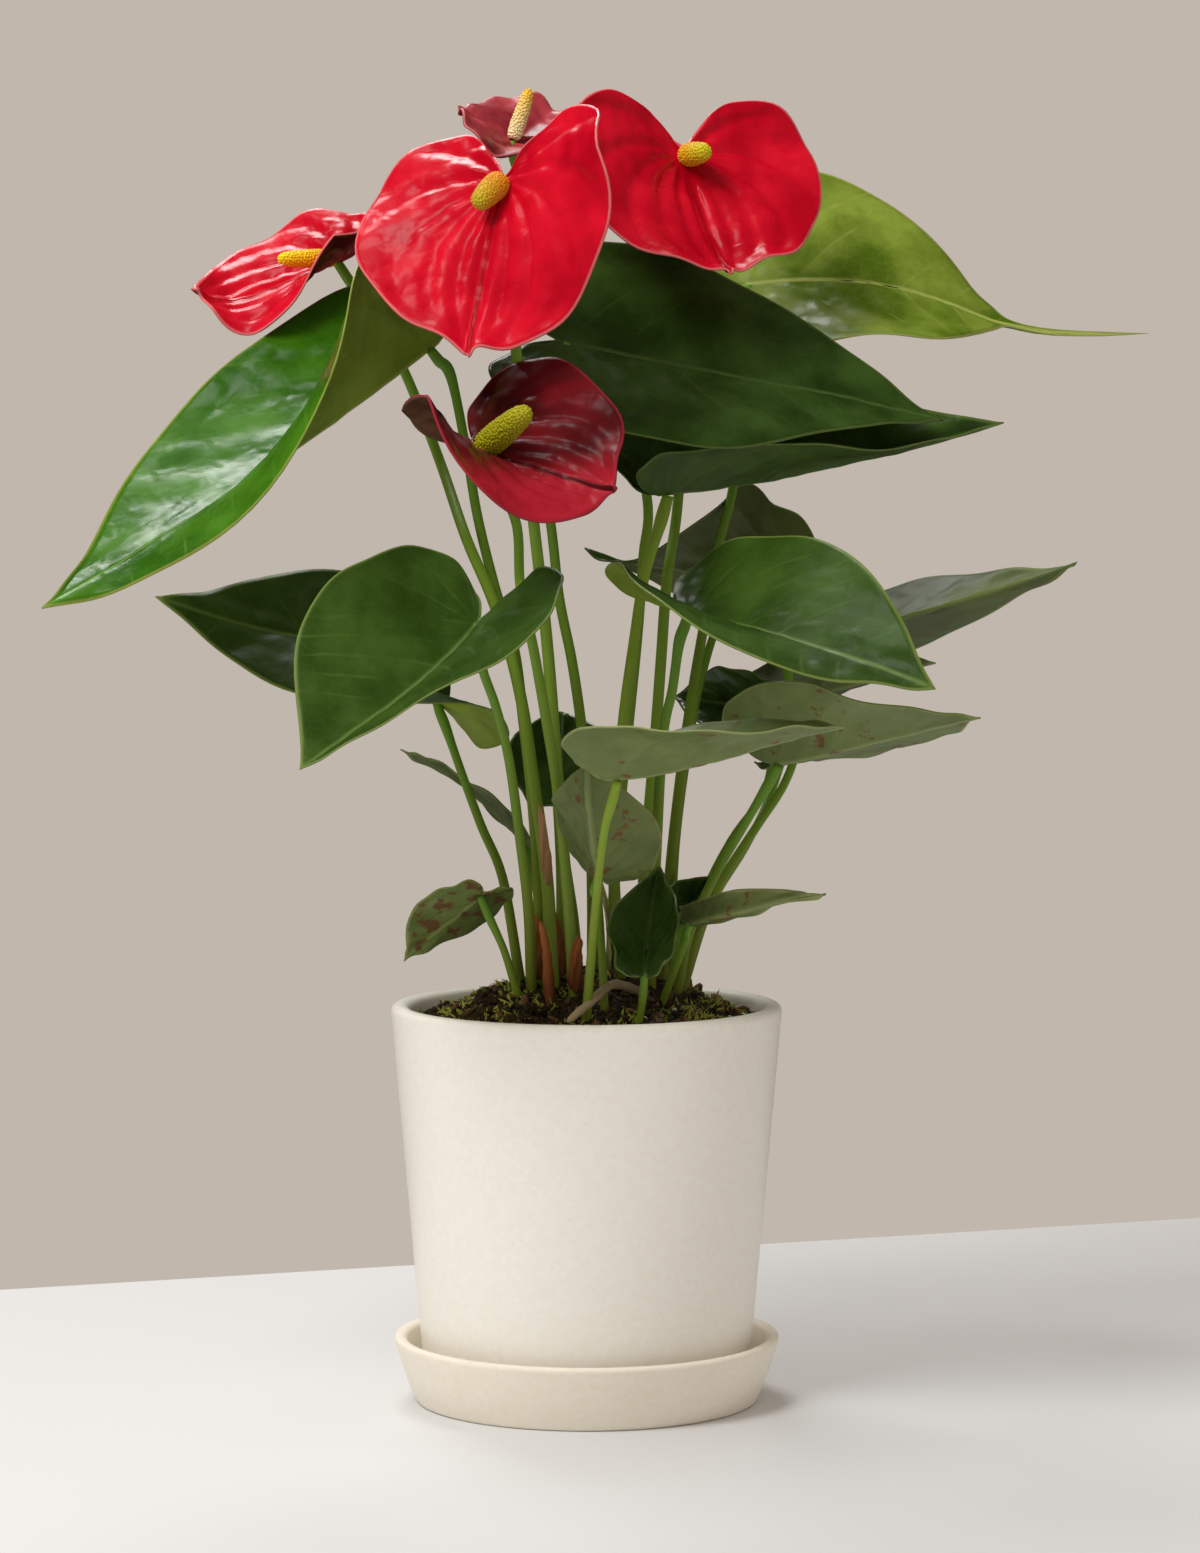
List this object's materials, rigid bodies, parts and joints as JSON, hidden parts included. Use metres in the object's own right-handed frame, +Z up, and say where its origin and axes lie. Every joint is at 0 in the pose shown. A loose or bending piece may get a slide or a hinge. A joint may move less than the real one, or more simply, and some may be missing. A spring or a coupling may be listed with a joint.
{
  "type": "potted anthurium",
  "caption": "Flowering anthurium with glossy red heart-shaped spathes and long-stalked green leaves, rooted in a tapered cream ceramic pot that stands on a matching saucer.",
  "frame": {"origin": "middle of the saucer's flat underside, on the surface the saucer stands on", "axes": "+Z up, +X to the right of someone who faces the front of the plant, +Y towards its back"},
  "size_m": [0.3672, 0.2359, 0.4368],
  "materials": {
    "saucer_glaze": "matte",
    "pot_glaze": "matte",
    "soil": "matte",
    "stem": "satin",
    "leaf": "satin",
    "spathe": "gloss",
    "young_spathe": "gloss",
    "spadix": "matte",
    "dry_growth": "matte"
  },
  "bodies": {
    "root": {"saucer": "saucer_glaze", "pot": "pot_glaze", "soil": "soil", "flower_front_spathe": "spathe", "flower_front_spadix": "spadix", "flower_front_stem": "stem", "flower_right_spathe": "spathe", "flower_right_spadix": "spadix", "flower_right_stem": "stem", "flower_rear_spathe": "spathe", "flower_rear_spadix": "spadix", "flower_rear_stem": "stem", "flower_left_spathe": "spathe", "flower_left_spadix": "spadix", "flower_left_stem": "stem", "flower_young_spathe": "young_spathe", "flower_young_spadix": "spadix", "flower_young_stem": "stem", "leaf_upper_left_blade": "leaf", "leaf_upper_left_stem": "stem", "leaf_upper_middle_blade": "leaf", "leaf_upper_middle_stem": "stem", "leaf_upper_right_blade": "leaf", "leaf_upper_right_stem": "stem", "leaf_upper_under_blade": "leaf", "leaf_upper_under_stem": "stem", "leaf_front_left_blade": "leaf", "leaf_front_left_stem": "stem", "leaf_back_left_blade": "leaf", "leaf_back_left_stem": "stem", "leaf_front_right_blade": "leaf", "leaf_front_right_stem": "stem", "leaf_rear_middle_blade": "leaf", "leaf_rear_middle_stem": "stem", "leaf_rear_right_blade": "leaf", "leaf_rear_right_stem": "stem", "leaf_rear_low_right_blade": "leaf", "leaf_rear_low_right_stem": "stem", "leaf_inner_right_blade": "leaf", "leaf_inner_right_stem": "stem", "leaf_side_right_blade": "leaf", "leaf_side_right_stem": "stem", "leaf_front_long_blade": "leaf", "leaf_front_long_stem": "stem", "leaf_front_spotted_blade": "leaf", "leaf_front_spotted_stem": "stem", "leaf_front_dark_blade": "leaf", "leaf_front_dark_stem": "stem", "leaf_low_right_blade": "leaf", "leaf_low_right_stem": "stem", "leaf_low_inner_blade": "leaf", "leaf_low_inner_stem": "stem", "leaf_low_left_blade": "leaf", "leaf_low_left_stem": "stem", "leaf_rear_left_blade": "leaf", "leaf_rear_left_stem": "stem", "leaf_rear_inner_blade": "leaf", "leaf_rear_inner_stem": "stem", "aerial_root": "dry_growth", "dry_sheath": "dry_growth"}
  },
  "joints": []
}
